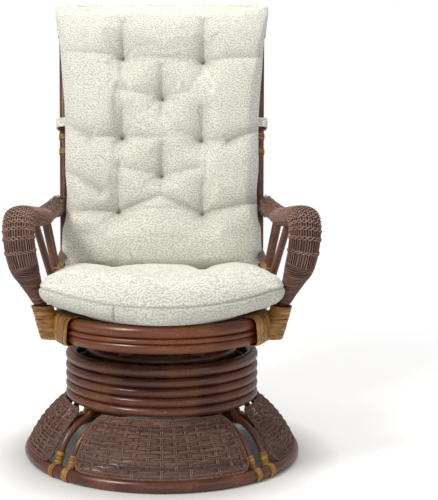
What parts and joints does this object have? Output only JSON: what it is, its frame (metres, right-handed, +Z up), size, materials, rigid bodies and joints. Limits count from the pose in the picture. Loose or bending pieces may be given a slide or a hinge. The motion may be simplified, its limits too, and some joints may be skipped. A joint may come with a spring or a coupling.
{
  "type": "swivel rocker",
  "caption": "Swivel rocker chair of bent rattan poles on a round woven base, with woven arms and tufted seat and back cushions; it turns and rocks.",
  "frame": {"origin": "on the floor, where the swivel axis meets it", "axes": "+Z up, -Y is the chair's front, +X the chair's left arm seen from the seat"},
  "size_m": [0.6688, 0.7478, 1.0744],
  "materials": {
    "stained_rattan": "stained and lacquered rattan pole",
    "front_rail_rattan": "red-brown stained and lacquered rattan pole",
    "woven_wicker": "woven rattan core, brown stain",
    "arm_wicker": "woven rattan core, lighter worn brown stain",
    "dark_cane": "fine cane cross-wound, dark stain",
    "golden_cane": "cane strips, honey lacquer",
    "hardwood": "sawn hardwood, dark stain",
    "black_steel": "pressed steel, black paint",
    "bright_steel": "zinc plated steel",
    "spring_steel": "oiled spring steel",
    "nylon": "moulded nylon",
    "rubber": "moulded rubber",
    "cushion_cloth": "woven cotton, printed with a fine squiggle"
  },
  "bodies": {
    "base": {"base_ring": "stained_rattan", "leg_poles_front_left": "stained_rattan", "leg_poles_front_right": "stained_rattan", "leg_poles_rear_left": "stained_rattan", "leg_poles_rear_right": "stained_rattan", "drum_ring_top": "stained_rattan", "drum_ring_1": "stained_rattan", "drum_ring_2": "stained_rattan", "drum_ring_3": "stained_rattan", "drum_ring_4": "stained_rattan", "skirt_panel_front": "woven_wicker", "skirt_panel_rear": "woven_wicker", "skirt_panel_left": "woven_wicker", "skirt_panel_right": "woven_wicker", "leg_bindings": "golden_cane", "base_ring_bindings": "golden_cane", "drum_cross_bars": "hardwood", "swivel_base_plate": "black_steel", "base_plate_bolts": "bright_steel", "king_pin": "bright_steel", "king_nut": "bright_steel"},
    "swivel": {"swivel_top_plate": "black_steel", "pivot_shaft": "bright_steel", "shaft_nuts": "bright_steel", "bump_stops": "rubber", "bearing_balls": "bright_steel", "ball_cage": "bright_steel", "springs_front": "spring_steel", "springs_rear": "spring_steel"},
    "seat": {"arm_braces": "stained_rattan", "arm_foot_bindings": "golden_cane", "arm_foot_rails": "stained_rattan", "arm_pole_left": "stained_rattan", "arm_pole_right": "stained_rattan", "arm_tapers": "dark_cane", "arm_weave_left": "arm_wicker", "arm_weave_right": "arm_wicker", "back_cross_rails": "stained_rattan", "back_cushion": "cushion_cloth", "back_post_left": "stained_rattan", "back_post_right": "stained_rattan", "back_spindles": "stained_rattan", "back_top_rail": "stained_rattan", "corner_wraps": "golden_cane", "cushion_ties": "cushion_cloth", "front_rail_lower": "front_rail_rattan", "front_rail_thin": "front_rail_rattan", "front_rail_upper": "front_rail_rattan", "pivot_bushes": "nylon", "post_bindings": "golden_cane", "rear_rails": "stained_rattan", "ring_bars": "hardwood", "seat_beams": "hardwood", "seat_cushion": "cushion_cloth", "seat_ring": "stained_rattan", "seat_slats": "stained_rattan", "side_rails_left": "stained_rattan", "side_rails_right": "stained_rattan", "tilt_bracket": "black_steel", "tilt_bracket_bolts": "bright_steel"}
  },
  "joints": [
    {"name": "swivel", "type": "hinge", "parent": "base", "child": "swivel", "pos_m": [0, 0, 0.176], "axis": [0, 0, 1], "continuous": true},
    {"name": "rock", "type": "hinge", "parent": "swivel", "child": "seat", "pos_m": [0, 0, 0.212], "axis": [1, 0, 0], "range_deg": [-10, 8], "stiffness_Nm_per_rad": 900, "deforming": ["springs_front", "springs_rear"]}
  ]
}
